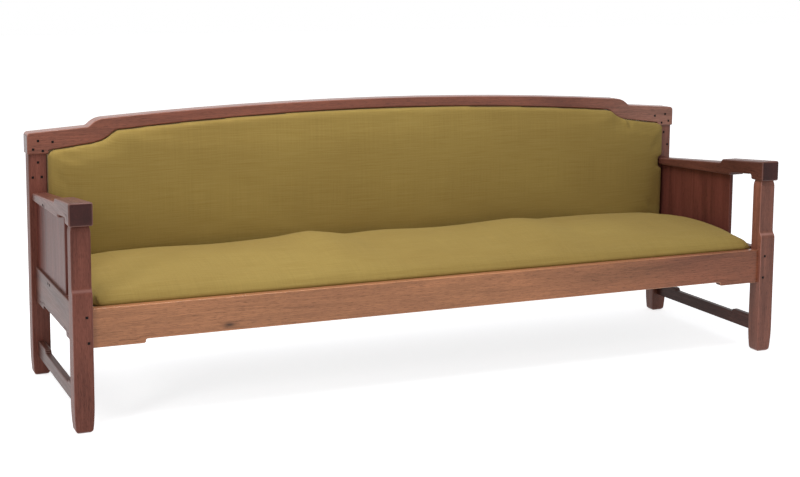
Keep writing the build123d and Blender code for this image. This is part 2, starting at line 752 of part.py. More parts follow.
with BuildPart() as arm_plug_set:
    for side in (-1, 1):
        panel_plugs(side, arm_outer_middle, arm_plug_z, Mode.ADD, 0)
    outside = arm_plug_set.faces().group_by(Axis.X)
    chamfer((outside[0] + outside[-1]).edges(), length=plug_bevel)
arm_plug_set.part.label = "arm_plugs"
export_step(arm_plug_set.part, "parts/arm_plugs.step")

with BuildPart() as side_rail_plug_set:
    for side in (-1, 1):
        panel_plugs(side, side_rail_outer, rail_plug_z, Mode.ADD, 0)
    outside = side_rail_plug_set.faces().group_by(Axis.X)
    chamfer((outside[0] + outside[-1]).edges(), length=plug_bevel)
side_rail_plug_set.part.label = "side_rail_plugs"
export_step(side_rail_plug_set.part, "parts/side_rail_plugs.step")

# Bearers across the carcass at each third of its length
for side, hand in hands:
    with BuildPart() as seat_bearer:
        span_box(middle_span(side * bearer_x, bearer_thickness),
                 (front_rail_back, rear_rail_face), bearer_z)
        span_box(middle_span(side * bearer_x, bearer_tenon_thickness),
                 (front_rail_back - bearer_tenon_length, rear_rail_face + bearer_tenon_length),
                 bearer_tenon_z)
    seat_bearer.part.label = f"seat_bearer_{hand}"
    export_step(seat_bearer.part, f"parts/seat_bearer_{hand}.step")


# Cleats that carry the loose seat: three lengths on each long rail
seat_half = post_inner - seat_play
cleat_bottom_z = cleat_top_z - cleat_size
bearer_side = bearer_thickness / 2
cleat_lengths = ((-seat_half, -bearer_x - bearer_side),
                 (-bearer_x + bearer_side, bearer_x - bearer_side),
                 (bearer_x + bearer_side, seat_half))
cleat_rows = ((front_rail_back, front_rail_back + cleat_size),
              (rear_rail_face - cleat_size, rear_rail_face))
with BuildPart() as seat_cleats:
    for x_span in cleat_lengths:
        for y_span in cleat_rows:
            span_box(x_span, y_span, (cleat_bottom_z, cleat_top_z))
seat_cleats.part.label = "seat_cleats"
export_step(seat_cleats.part, "parts/seat_cleats.step")

# Corner blocks, cut round the posts and glued across the carcass corners
with BuildPart() as corner_blocks:
    block_low_z = cleat_bottom_z - corner_block_height
    for rail_y, post_y, way in ((front_rail_back, front_post_back, 1),
                                (rear_rail_face, rear_post_front, -1)):
        for side in (-1, 1):
            with BuildSketch(Plane.XY.offset(block_low_z)):
                with BuildLine():
                    Polyline((side * (post_inner - corner_block_reach), rail_y),
                             (side * post_inner, rail_y), (side * post_inner, post_y),
                             (side * side_rail_inner, post_y),
                             (side * side_rail_inner, post_y + way * corner_block_reach),
                             close=True)
                make_face()
            extrude(amount=corner_block_height)
corner_blocks.part.label = "corner_blocks"
export_step(corner_blocks.part, "parts/corner_blocks.step")

# Loose seat frame: long rails, end rails and cross rails over the bearers
seat_front = front_rail_back + seat_play
seat_back = rear_rail_face - seat_play
seat_z = (cleat_top_z, cleat_top_z + seat_frame_thickness)
seat_tenon_z = middle_span(sum(seat_z) / 2, seat_tenon_thickness)
seat_cross_x = {"end_left": -seat_half + seat_rail_width / 2, "cross_left": -bearer_x,
                "cross_right": bearer_x, "end_right": seat_half - seat_rail_width / 2}
for name, y_span, inner_way in (("front", (seat_front, seat_front + seat_rail_width), 1),
                                ("rear", (seat_back - seat_rail_width, seat_back), -1)):
    with BuildPart() as seat_frame_rail:
        span_box((-seat_half, seat_half), y_span, seat_z)
        inner_y = y_span[1] if inner_way > 0 else y_span[0]
        for x in seat_cross_x.values():
            span_box(middle_span(x, seat_tenon_width + 2 * seam),
                     (inner_y + inner_way * overrun,
                      inner_y - inner_way * (seat_tenon_length + seam)),
                     grown(seat_tenon_z, seam), mode=Mode.SUBTRACT)
    seat_frame_rail.part.label = f"seat_frame_{name}"
    export_step(seat_frame_rail.part, f"parts/seat_frame_{name}.step")

for name, x in seat_cross_x.items():
    inside = (seat_front + seat_rail_width, seat_back - seat_rail_width)
    with BuildPart() as seat_frame_cross:
        span_box(middle_span(x, seat_rail_width), inside, seat_z)
        span_box(middle_span(x, seat_tenon_width), grown(inside, seat_tenon_length), seat_tenon_z)
    seat_frame_cross.part.label = f"seat_frame_{name}"
    export_step(seat_frame_cross.part, f"parts/seat_frame_{name}.step")

# Dust cloth stapled under the seat frame, between the cleats
with BuildPart() as dust_cover:
    span_box((-seat_half, seat_half),
             (front_rail_back + cleat_size + seam, rear_rail_face - cleat_size - seam),
             (cleat_top_z - dust_cloth, cleat_top_z))
dust_cover.part.label = "dust_cover"
export_step(dust_cover.part, "parts/dust_cover.step")


def strap_places(low, high, pitch):
    """Middles of straps spread evenly between two limits."""
    count = int((high - low) / pitch)
    step = (high - low) / count
    return [low + step * (index + 1 / 2) for index in range(count)]


# Seat webbing: short straps front to back, long straps laid over them
with BuildPart() as seat_webbing:
    tack = seat_rail_width / 2
    seat_middle_y = (seat_front + seat_back) / 2
    columns = strap_places(-seat_half + seat_rail_width, seat_half - seat_rail_width,
                           seat_strap_pitch)
    with Locations(*((x, seat_middle_y, seat_z[1] + strap_thickness / 2) for x in columns)):
        Box(strap_width, seat_back - seat_front - 2 * tack, strap_thickness)
    rows = strap_places(seat_front + seat_rail_width, seat_back - seat_rail_width,
                        seat_strap_pitch)
    with Locations(*((0, y, seat_z[1] + strap_layer_gap + strap_thickness * 3 / 2) for y in rows)):
        Box(2 * (seat_half - tack), strap_width, strap_thickness)
seat_webbing.part.label = "seat_webbing"
export_step(seat_webbing.part, "parts/seat_webbing.step")

# Loose back frame: a shaped top rail, a bottom rail, stiles and two muntins
frame_front_y = rear_post_front + back_setback
frame_back_y = frame_front_y + back_frame_thickness
back_half = post_inner - back_play
back_tenon_y = middle_span((frame_front_y + frame_back_y) / 2, seat_tenon_thickness)
bottom_rail_z = (rail_top_z, rail_top_z + back_member_width)
stile_inner_x = back_half - back_member_width
brow_end_z = bay_end_z - back_play - back_member_width
brow_rise = under_rise + crest_lift_rise
uprights = {"stile_left": -back_half + back_member_width / 2, "muntin_left": -bearer_x,
            "muntin_right": bearer_x, "stile_right": back_half - back_member_width / 2}


def brow_height(x):
    """Height of the top rail's lower edge at x."""
    reach = min(abs(x), stile_inner_x)
    return brow_end_z + brow_rise - arch_drop(reach, stile_inner_x, brow_rise)


def back_edge(play, low_z, close_low):
    """The outline of the back, play inside the crest's lower edge and notched round its lip."""
    end_x = bay_end_x - play
    under_edge(end_x, play)
    corner_z = bay_end_z + play * crest_bay_rise / crest_bay_run - play
    for side in (-1, 1):
        Polyline((side * end_x, corner_z), (side * end_x, crest_bottom_z - play),
                 (side * back_half, crest_bottom_z - play), (side * back_half, low_z))
    if close_low:
        Line((-back_half, low_z), (back_half, low_z))


with BuildPart() as back_frame_top:
    with BuildSketch(Plane.XZ.offset(-frame_back_y)):
        with BuildLine():
            back_edge(back_play, brow_end_z, False)
            for side in (-1, 1):
                Line((side * back_half, brow_end_z), (side * stile_inner_x, brow_end_z))
            ThreePointArc((-stile_inner_x, brow_end_z), (0, brow_end_z + brow_rise),
                          (stile_inner_x, brow_end_z))
        make_face()
    extrude(amount=back_frame_thickness)
    for x in uprights.values():
        span_box(middle_span(x, seat_tenon_width + 2 * seam), grown(back_tenon_y, seam),
                 (brow_height(x) - overrun, brow_height(x) + back_member_tenon + seam),
                 mode=Mode.SUBTRACT)
back_frame_top.part.label = "back_frame_top"
export_step(back_frame_top.part, "parts/back_frame_top.step")

with BuildPart() as back_frame_bottom:
    span_box((-back_half, back_half), (frame_front_y, frame_back_y), bottom_rail_z)
    for x in uprights.values():
        span_box(middle_span(x, seat_tenon_width + 2 * seam), grown(back_tenon_y, seam),
                 (bottom_rail_z[1] - back_member_tenon - seam, bottom_rail_z[1] + overrun),
                 mode=Mode.SUBTRACT)
back_frame_bottom.part.label = "back_frame_bottom"
export_step(back_frame_bottom.part, "parts/back_frame_bottom.step")

for name, x in uprights.items():
    edge_low, edge_high = middle_span(x, back_member_width)
    with BuildPart() as back_upright:
        with BuildSketch(Plane.XZ.offset(-frame_back_y)):
            with BuildLine():
                Polyline((edge_low, brow_height(edge_low)), (edge_low, bottom_rail_z[1]),
                         (edge_high, bottom_rail_z[1]), (edge_high, brow_height(edge_high)))
                if "muntin" in name:
                    ThreePointArc((edge_low, brow_height(edge_low)), (x, brow_height(x)),
                                  (edge_high, brow_height(edge_high)))
                else:
                    Line((edge_low, brow_end_z), (edge_high, brow_end_z))
            make_face()
        extrude(amount=back_frame_thickness)
        span_box(middle_span(x, seat_tenon_width), back_tenon_y,
                 (bottom_rail_z[1] - back_member_tenon, brow_height(x) + back_member_tenon))
    back_upright.part.label = f"back_frame_{name}"
    export_step(back_upright.part, f"parts/back_frame_{name}.step")

# Back webbing: upright straps with long straps over them, on the front of the frame
with BuildPart() as back_webbing:
    low_z = bottom_rail_z[1] - back_member_width / 2
    for x in strap_places(-stile_inner_x, stile_inner_x, back_strap_pitch):
        span_box(middle_span(x, strap_width), (frame_front_y - strap_thickness, frame_front_y),
                 (low_z, brow_height(x) + back_member_width / 2))
    rows = strap_places(bottom_rail_z[1], brow_end_z, back_strap_pitch)
    with Locations(*((0, frame_front_y - strap_layer_gap - strap_thickness * 3 / 2, z) for z in rows)):
        Box(2 * back_half - back_member_width, strap_thickness, strap_width)
back_webbing.part.label = "back_webbing"
export_step(back_webbing.part, "parts/back_webbing.step")

# Outside back: cloth over the rear of the loose back, held by the battens
with BuildPart() as outside_back:
    with BuildSketch(Plane.XZ.offset(-frame_back_y)):
        with BuildLine():
            back_edge(back_play, rail_top_z, True)
        make_face()
    extrude(amount=-back_cloth)
outside_back.part.label = "outside_back"
export_step(outside_back.part, "parts/outside_back.step")

# Battens on the rear posts, screwed into the loose back's stiles
for side, hand in hands:
    with BuildPart() as back_batten:
        span_box((side * (post_inner - batten_size), side * post_inner),
                 (frame_back_y + back_cloth, frame_back_y + back_cloth + batten_size),
                 (rail_top_z, crest_bottom_z - batten_head_gap))
    back_batten.part.label = f"back_batten_{hand}"
    export_step(back_batten.part, f"parts/back_batten_{hand}.step")

# Seat cushion: sections across its depth, lofted along its length
cushion_half = post_inner - cushion_end_gap
cushion_bottom_z = seat_z[1] + cushion_bottom_rise
cushion_front = front_rail_back + cushion_front_gap
cushion_back = rear_post_front - back_pad - cushion_back_gap


def seat_crown_height(x):
    """Height of the cushion's crown above its bottom, before its ends are rounded."""
    height = seat_crown - seat_crown_fall * (abs(x) / cushion_half) ** seat_crown_hold
    for place, rise in seat_humps:
        near = max(0, 1 - abs(x - place) / seat_hump_half)
        height += rise * (1 - cos(pi * near)) / 2
    return height


seat_stations = [0]
for place, rise in seat_humps:
    seat_stations += [place + seat_hump_half * share for share in (-1, -1 / 2, 0, 1 / 2, 1)]
for side in (-1, 1):
    end_start = cushion_half - seat_end_round
    seat_stations += [side * end_start * share for share in (4 / 5, 9 / 10, 1)]
    seat_stations += [side * (end_start + seat_end_round * sin(radians(angle)))
                      for angle in (30, 60, 90)]
with BuildPart() as seat_cushion:
    for x in sorted(seat_stations):
        turn = max(0, abs(x) - cushion_half + seat_end_round)
        end_fall = seat_end_round - sqrt(seat_end_round**2 - turn**2)
        full = seat_crown_height(x)
        squash = (full - end_fall) / full
        front_y = cushion_front + seat_front_lean * (1 - squash)
        top_y = front_y + seat_front_lean
        edge_z = cushion_bottom_z + seat_edge_height * squash
        crown_y = cushion_front + (cushion_back - cushion_front) * seat_crown_share
        back_height = seat_back_height - seat_back_fall * (abs(x) / cushion_half) ** 3
        back_z = cushion_bottom_z + back_height * squash
        with BuildSketch(Plane.YZ.offset(x)):
            with BuildLine():
                ThreePointArc((front_y, cushion_bottom_z),
                              ((front_y + top_y) / 2 - seat_edge_bulge * squash,
                               (cushion_bottom_z + edge_z) / 2 + seat_edge_bulge * squash),
                              (top_y, edge_z))
                ThreePointArc((top_y, edge_z), (crown_y, cushion_bottom_z + full - end_fall),
                              (cushion_back, back_z))
                Polyline((cushion_back, back_z), (cushion_back, cushion_bottom_z),
                         (front_y, cushion_bottom_z))
            make_face()
    loft(ruled=True)
seat_cushion.part.label = "seat_cushion"
export_step(seat_cushion.part, "parts/seat_cushion.step")

# Back cushion: the outline of the back, cut to a slab with a crowned front, edges rounded
pad_back = frame_front_y - 2 * strap_thickness - strap_layer_gap - seam
pad_front = rear_post_front - back_pad
pad_low_z = rail_top_z + back_pad_low_gap
pad_stations = [0, back_half - back_pad_sweep,
                back_half - back_pad_sweep * back_pad_sweep_share, back_half + overrun]
with BuildPart() as back_cushion:
    with BuildSketch(Plane.XZ.offset(-pad_back)):
        with BuildLine():
            under_edge(back_half, back_play)
            pad_end_z = bay_end_z - (back_half - bay_end_x) * crest_bay_rise / crest_bay_run
            Polyline((-back_half, pad_end_z - back_play), (-back_half, pad_low_z),
                     (back_half, pad_low_z), (back_half, pad_end_z - back_play))
        make_face()
        fillet(vertices().filter_by(lambda corner: abs(corner.X) > back_half - seam),
               radius=back_corner_round)
    extrude(amount=back_pad + 2 * overrun)
    for x in [-x for x in reversed(pad_stations[1:])] + pad_stations:
        near_end = max(0, 1 - (back_half - abs(x)) / back_pad_sweep)
        edge_y = pad_front + back_pad_crown + (back_pad - back_pad_end) * near_end**3
        with BuildSketch(Plane.YZ.offset(x)):
            with BuildLine():
                Polyline((edge_y, pad_low_z - overrun), (pad_back + overrun, pad_low_z - overrun),
                         (pad_back + overrun, crest_middle_z), (edge_y, crest_middle_z))
                ThreePointArc((edge_y, pad_low_z - overrun),
                              (edge_y - back_pad_crown, (pad_low_z + crest_middle_z) / 2),
                              (edge_y, crest_middle_z))
            make_face()
    loft(mode=Mode.INTERSECT)
    face_front = back_cushion.faces().filter_by(
        lambda face: face.normal_at().Y < -cos(radians(60)))
    fillet(face_front.edges(), radius=back_edge_round)
    for side in (-1, 1):
        span_box((side * (bay_end_x - back_play), side * (back_half + overrun)),
                 (pad_front - overrun, pad_back + overrun),
                 (crest_bottom_z - back_play, crest_middle_z), mode=Mode.SUBTRACT)
back_cushion.part.label = "back_cushion"
export_step(back_cushion.part, "parts/back_cushion.step")
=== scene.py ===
import math

import bmesh
import bpy
from mathutils import Matrix, Vector


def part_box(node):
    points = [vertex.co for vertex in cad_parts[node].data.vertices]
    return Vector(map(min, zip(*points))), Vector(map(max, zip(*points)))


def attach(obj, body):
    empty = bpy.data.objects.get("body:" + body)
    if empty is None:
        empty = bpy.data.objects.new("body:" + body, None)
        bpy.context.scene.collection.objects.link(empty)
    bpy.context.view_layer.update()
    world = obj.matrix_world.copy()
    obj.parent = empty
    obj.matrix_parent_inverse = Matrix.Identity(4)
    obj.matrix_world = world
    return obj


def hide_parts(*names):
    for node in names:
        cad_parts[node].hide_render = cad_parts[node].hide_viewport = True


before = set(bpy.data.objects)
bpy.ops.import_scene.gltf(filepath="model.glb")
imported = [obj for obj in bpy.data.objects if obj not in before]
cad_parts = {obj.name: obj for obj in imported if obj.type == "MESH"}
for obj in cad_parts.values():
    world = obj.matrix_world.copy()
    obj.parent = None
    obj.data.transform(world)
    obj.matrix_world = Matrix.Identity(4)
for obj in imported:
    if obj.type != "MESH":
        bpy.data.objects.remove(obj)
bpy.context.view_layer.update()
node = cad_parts


# The timber that shows is mahogany, sawn so that the grain runs along each stick or board, and
# polished to a satin film. Fine pores follow the grain, end grain drinks more stain and is nearly
# black, and the rounded edges are painted lighter: part handling wear, part painted highlight.
GRAIN_WAYS = {"x": (1.0, 0.0, 0.0), "y": (0.0, 1.0, 0.0), "z": (0.0, 0.0, 1.0)}


def grain_space(tree, grain, along, across):
    """Object coordinates drawn out along the grain."""
    place = tree.nodes.new("ShaderNodeTexCoord")
    stretch = tree.nodes.new("ShaderNodeMapping")
    stretch.inputs["Scale"].default_value = [along if g else across for g in GRAIN_WAYS[grain]]
    tree.links.new(place.outputs["Object"], stretch.inputs["Vector"])
    return stretch.outputs["Vector"]


def noise(tree, space, detail, roughness=0.55, distortion=0.0):
    """Soft mottling in the space given."""
    mottle = tree.nodes.new("ShaderNodeTexNoise")
    mottle.inputs["Scale"].default_value = 1.0
    mottle.inputs["Detail"].default_value = detail
    mottle.inputs["Roughness"].default_value = roughness
    mottle.inputs["Distortion"].default_value = distortion
    tree.links.new(space, mottle.inputs["Vector"])
    return mottle.outputs["Fac"]


def ramp(tree, value, *stops):
    """A colour ramp through the stops given as (place, colour)."""
    colours = tree.nodes.new("ShaderNodeValToRGB")
    band = colours.color_ramp
    while len(band.elements) < len(stops):
        band.elements.new(0.5)
    for element, (place, colour) in zip(band.elements, stops):
        element.position = place
        element.color = (*colour, 1.0)
    tree.links.new(value, colours.inputs["Fac"])
    return colours.outputs["Color"]


def grey(level):
    return (level, level, level)


def shade(colour, share):
    return tuple(c * share for c in colour)


def tint(tree, kind, share, base, layer):
    """One colour laid over another. The share may be a number or a map."""
    mix = tree.nodes.new("ShaderNodeMix")
    mix.data_type = "RGBA"
    mix.blend_type = kind
    if isinstance(share, float):
        mix.inputs["Factor"].default_value = share
    else:
        tree.links.new(share, mix.inputs["Factor"])
    for socket, colour in (("A", base), ("B", layer)):
        if isinstance(colour, tuple):
            mix.inputs[socket].default_value = (*colour, 1.0)
        else:
            tree.links.new(colour, mix.inputs[socket])
    return mix.outputs["Result"]


def sums(tree, kind, first, second):
    """Two values worked into one."""
    step = tree.nodes.new("ShaderNodeMath")
    step.operation = kind
    for socket, value in zip(step.inputs, (first, second)):
        if isinstance(value, float):
            socket.default_value = value
        else:
            tree.links.new(value, socket)
    return step.outputs["Value"]


def relief(tree, height, depth, under=None):
    """Surface relief from a height map, over another relief if one is given."""
    bump = tree.nodes.new("ShaderNodeBump")
    bump.inputs["Strength"].default_value = 1.0
    bump.inputs["Distance"].default_value = depth
    tree.links.new(height, bump.inputs["Height"])
    if under is not None:
        tree.links.new(under, bump.inputs["Normal"])
    return bump.outputs["Normal"]


def new_finish(name):
    """A material with its node tree and its surface shader."""
    material = bpy.data.materials.new(name)
    material.use_nodes = True
    return material, material.node_tree, material.node_tree.nodes["Principled BSDF"]


def cover(piece, material):
    """Give a piece its one material."""
    piece.data.materials.clear()
    piece.data.materials.append(material)


def split_place(tree):
    """The Object coordinates, one by one."""
    place = tree.nodes.new("ShaderNodeTexCoord")
    parts = tree.nodes.new("ShaderNodeSeparateXYZ")
    tree.links.new(place.outputs["Object"], parts.inputs["Vector"])
    return parts.outputs


def facing(tree):
    """How far the surface faces along each axis, without sign."""
    place = tree.nodes.new("ShaderNodeTexCoord")
    size = tree.nodes.new("ShaderNodeVectorMath")
    size.operation = "ABSOLUTE"
    tree.links.new(place.outputs["Normal"], size.inputs[0])
    parts = tree.nodes.new("ShaderNodeSeparateXYZ")
    tree.links.new(size.outputs["Vector"], parts.inputs["Vector"])
    return parts.outputs


def painted_light_along_x(tree, colour, figure, blotch, left_end_tone, tone_turn_from, tone_turn_to):
    """The colour turned along x, in uneven blotches, from the left end's tone to the main one.
    This is painted light: the front rail is painted lighter towards the left key, and the crest's
    right end takes a painted sheen.
    """
    left_end = ramp(tree, figure, (0.28, shade(left_end_tone, 0.74)), (0.5, left_end_tone), (0.74, shade(left_end_tone, 1.20)))
    reach = tree.nodes.new("ShaderNodeMapRange")
    reach.interpolation_type = "SMOOTHSTEP"
    reach.inputs["From Min"].default_value = tone_turn_from
    reach.inputs["From Max"].default_value = tone_turn_to
    tree.links.new(sums(tree, "ADD", split_place(tree)["X"], blotch), reach.inputs["Value"])
    return tint(tree, "MIX", reach.outputs["Result"], left_end, colour)


def knot_mark(tree, colour, streak, place, half_size):
    """The colour darkened by one knot in a front face, its rings broken up by the grain."""
    centre = tree.nodes.new("ShaderNodeMapping")
    centre.inputs["Scale"].default_value = (1 / half_size[0], 0.0, 1 / half_size[1])
    centre.inputs["Location"].default_value = (-place[0] / half_size[0], 0.0,
                                               -place[1] / half_size[1])
    coordinates = tree.nodes.new("ShaderNodeTexCoord")
    tree.links.new(coordinates.outputs["Object"], centre.inputs["Vector"])
    away = tree.nodes.new("ShaderNodeVectorMath")
    away.operation = "LENGTH"
    tree.links.new(centre.outputs["Vector"], away.inputs[0])
    ring = sums(tree, "ADD", away.outputs["Value"], sums(tree, "MULTIPLY", streak, 0.9))
    rings = ramp(tree, sums(tree, "MULTIPLY", ring, 0.5), (0.32, grey(0.22)), (0.62, grey(0.7)),
                 (0.95, grey(1.0)))
    return tint(tree, "MULTIPLY", 1.0, colour, rings)


def rubbed_and_highlit_edges(tree, ways, blotch):
    """Where the rounded edges, which face no axis squarely, are painted lighter: part rubbed film,
    part painted highlight.
    """
    flat = sums(tree, "MAXIMUM", sums(tree, "MAXIMUM", ways[0], ways[1]), ways[2])
    edges = ramp(tree, flat, (0.76, grey(1.0)), (0.92, grey(0.0)))
    patches = ramp(tree, blotch, (0.35, grey(0.3)), (0.6, grey(0.8)))
    return tint(tree, "MULTIPLY", 1.0, edges, patches)


def mahogany(name, grain, tone, polish, left_end_tone=None, tone_turn_from=0.0, tone_turn_to=1.0, knot=None):
    """Polished mahogany, its grain along one axis. Its colour may turn along x to another tone at
    the left end, as painted light, or it may have a knot, given as its place and its half size in
    x and z."""
    material, tree, film = new_finish(name)
    figure = noise(tree, grain_space(tree, grain, 1.3, 14.0), 5, 0.6, 1.2)
    streak = noise(tree, grain_space(tree, grain, 5.0, 250.0), 6, 0.68)
    fibre = noise(tree, grain_space(tree, grain, 26.0, 620.0), 3, 0.6)
    pores = noise(tree, grain_space(tree, grain, 55.0, 1300.0), 2, 0.5)
    blotch = noise(tree, grain_space(tree, grain, 2.0, 4.5), 3, 0.5)
    colour = ramp(tree, figure, (0.28, shade(tone, 0.62)), (0.5, tone), (0.74, shade(tone, 1.36)))
    if left_end_tone:
        colour = painted_light_along_x(tree, colour, figure, blotch, left_end_tone, tone_turn_from, tone_turn_to)
    if knot:
        colour = knot_mark(tree, colour, streak, *knot)
    colour = tint(tree, "MULTIPLY", 0.7, colour,
                  ramp(tree, streak, (0.28, grey(0.62)), (0.64, grey(1.08))))
    colour = tint(tree, "MULTIPLY", 0.5, colour,
                  ramp(tree, fibre, (0.3, grey(0.7)), (0.7, grey(1.12))))
    colour = tint(tree, "MULTIPLY", 0.5, colour,
                  ramp(tree, blotch, (0.35, (0.78, 0.70, 0.70)), (0.65, (1.1, 1.08, 1.04))))
    pore_cut = ramp(tree, pores, (0.36, grey(0.35)), (0.44, grey(1.0)))
    colour = tint(tree, "MULTIPLY", 0.7, colour, pore_cut)
    ways = facing(tree)
    end_grain = ramp(tree, ways["XYZ".index(grain.upper())], (0.88, grey(0.0)), (0.97, grey(1.0)))
    colour = tint(tree, "MULTIPLY", end_grain, colour, (0.40, 0.30, 0.36))
    # The rounded edges take a lighter colour: part rubbed wear, part painted highlight.
    worn_and_highlit = tuple(0.06 + 1.2 * c for c in left_end_tone or tone)
    colour = tint(tree, "MIX", rubbed_and_highlit_edges(tree, ways, blotch), colour, worn_and_highlit)
    tree.links.new(colour, film.inputs["Base Color"])
    tree.links.new(ramp(tree, streak, (0.3, grey(0.52)), (0.7, grey(0.38))),
                   film.inputs["Roughness"])
    film.inputs["Specular IOR Level"].default_value = 0.12
    film.inputs["Coat Weight"].default_value = polish
    film.inputs["Coat Roughness"].default_value = 0.13
    normal = relief(tree, pore_cut, 0.00010)
    normal = relief(tree, streak, 0.00022, normal)
    tree.links.new(normal, film.inputs["Normal"])
    return material


def finish(material, *names):
    """Give CAD nodes their material."""
    for name in names:
        cover(node[name], material)


# The crest is painted lighter towards its right end: a painted sheen.
finish(mahogany("crest_mahogany", "x", (0.330, 0.146, 0.100), polish=0.45,
                left_end_tone=(0.232, 0.074, 0.043), tone_turn_from=1.2, tone_turn_to=1.7), "crest_rail")
# The front rail is painted lighter over its left end and middle than at its right end: painted
# light from the left key.
finish(mahogany("rail_mahogany", "x", (0.292, 0.096, 0.049), polish=0.4,
                left_end_tone=(0.458, 0.194, 0.086), tone_turn_from=0.6, tone_turn_to=1.8,
                knot=((-0.751, 0.277), (0.024, 0.009))), "front_seat_rail")
finish(mahogany("rear_rail_mahogany", "x", (0.190, 0.068, 0.038), polish=0.2), "rear_seat_rail")
finish(mahogany("arm_mahogany", "y", (0.150, 0.054, 0.038), polish=0.16), "arm_left",
       "arm_right")
# The side rails and stretchers take a darker copy of the mahogany: painted shade that holds down
# the left key's light on their outer faces.
finish(mahogany("side_mahogany_painted_darker", "y", (0.112, 0.042, 0.030), polish=0.12), "side_rail_left",
       "side_rail_right", "side_stretcher_left", "side_stretcher_right")
# The left and right posts take two copies of one mahogany that differ by painted light: the right
# posts, which the lamps reach less, are painted lighter than the left.
finish(mahogany("left_post_mahogany_painted_darker", "z", (0.200, 0.068, 0.047), polish=0.06),
       "front_post_left", "rear_post_left")
finish(mahogany("right_post_mahogany_painted_lighter", "z", (0.272, 0.102, 0.067), polish=0.3),
       "front_post_right", "rear_post_right")
finish(mahogany("panel_mahogany", "z", (0.150, 0.044, 0.032), polish=0.12), "side_panel_left",
       "side_panel_right")


# Square plugs of dark hardwood fill the holes over the joint pins. Their ends show end grain,
# stained nearly black, and stand a little proud of the frame.
def plug_timber():
    material, tree, film = new_finish("plug_end_grain")
    fleck = noise(tree, grain_space(tree, "y", 700.0, 700.0), 4, 0.7)
    tree.links.new(ramp(tree, fleck, (0.3, (0.004, 0.003, 0.003)), (0.7, (0.014, 0.008, 0.007))),
                   film.inputs["Base Color"])
    film.inputs["Roughness"].default_value = 0.6
    film.inputs["Specular IOR Level"].default_value = 0.1
    tree.links.new(relief(tree, fleck, 0.0001), film.inputs["Normal"])
    return material


finish(plug_timber(), "crest_plugs", "rear_post_plugs", "front_post_plugs", "arm_plugs",
       "side_rail_plugs")


# The frames inside the upholstery, the bearers, cleats and blocks are of a plain pale wood,
# sawn and planed but left without a finish. They show only from below and behind.
def plain_timber(name, grain):
    material, tree, film = new_finish(name)
    streak = noise(tree, grain_space(tree, grain, 5.0, 120.0), 5, 0.65)
    saw = noise(tree, grain_space(tree, grain, 160.0, 12.0), 3, 0.5)
    colour = ramp(tree, streak, (0.3, (0.33, 0.215, 0.115)), (0.7, (0.50, 0.36, 0.21)))
    colour = tint(tree, "MULTIPLY", 0.4, colour,
                  ramp(tree, saw, (0.35, grey(0.75)), (0.65, grey(1.05))))
    tree.links.new(colour, film.inputs["Base Color"])
    film.inputs["Roughness"].default_value = 0.72
    tree.links.new(relief(tree, saw, 0.0003), film.inputs["Normal"])
    return material


finish(plain_timber("beech_lengthwise", "x"), "seat_frame_front", "seat_frame_rear",
       "back_frame_top", "back_frame_bottom", "seat_cleats")
finish(plain_timber("beech_crosswise", "y"), "seat_frame_end_left", "seat_frame_end_right",
       "seat_frame_cross_left", "seat_frame_cross_right", "seat_bearer_left", "seat_bearer_right")
finish(plain_timber("beech_upright", "z"), "back_frame_stile_left", "back_frame_stile_right",
       "back_frame_muntin_left", "back_frame_muntin_right", "back_batten_left",
       "back_batten_right", "corner_blocks")


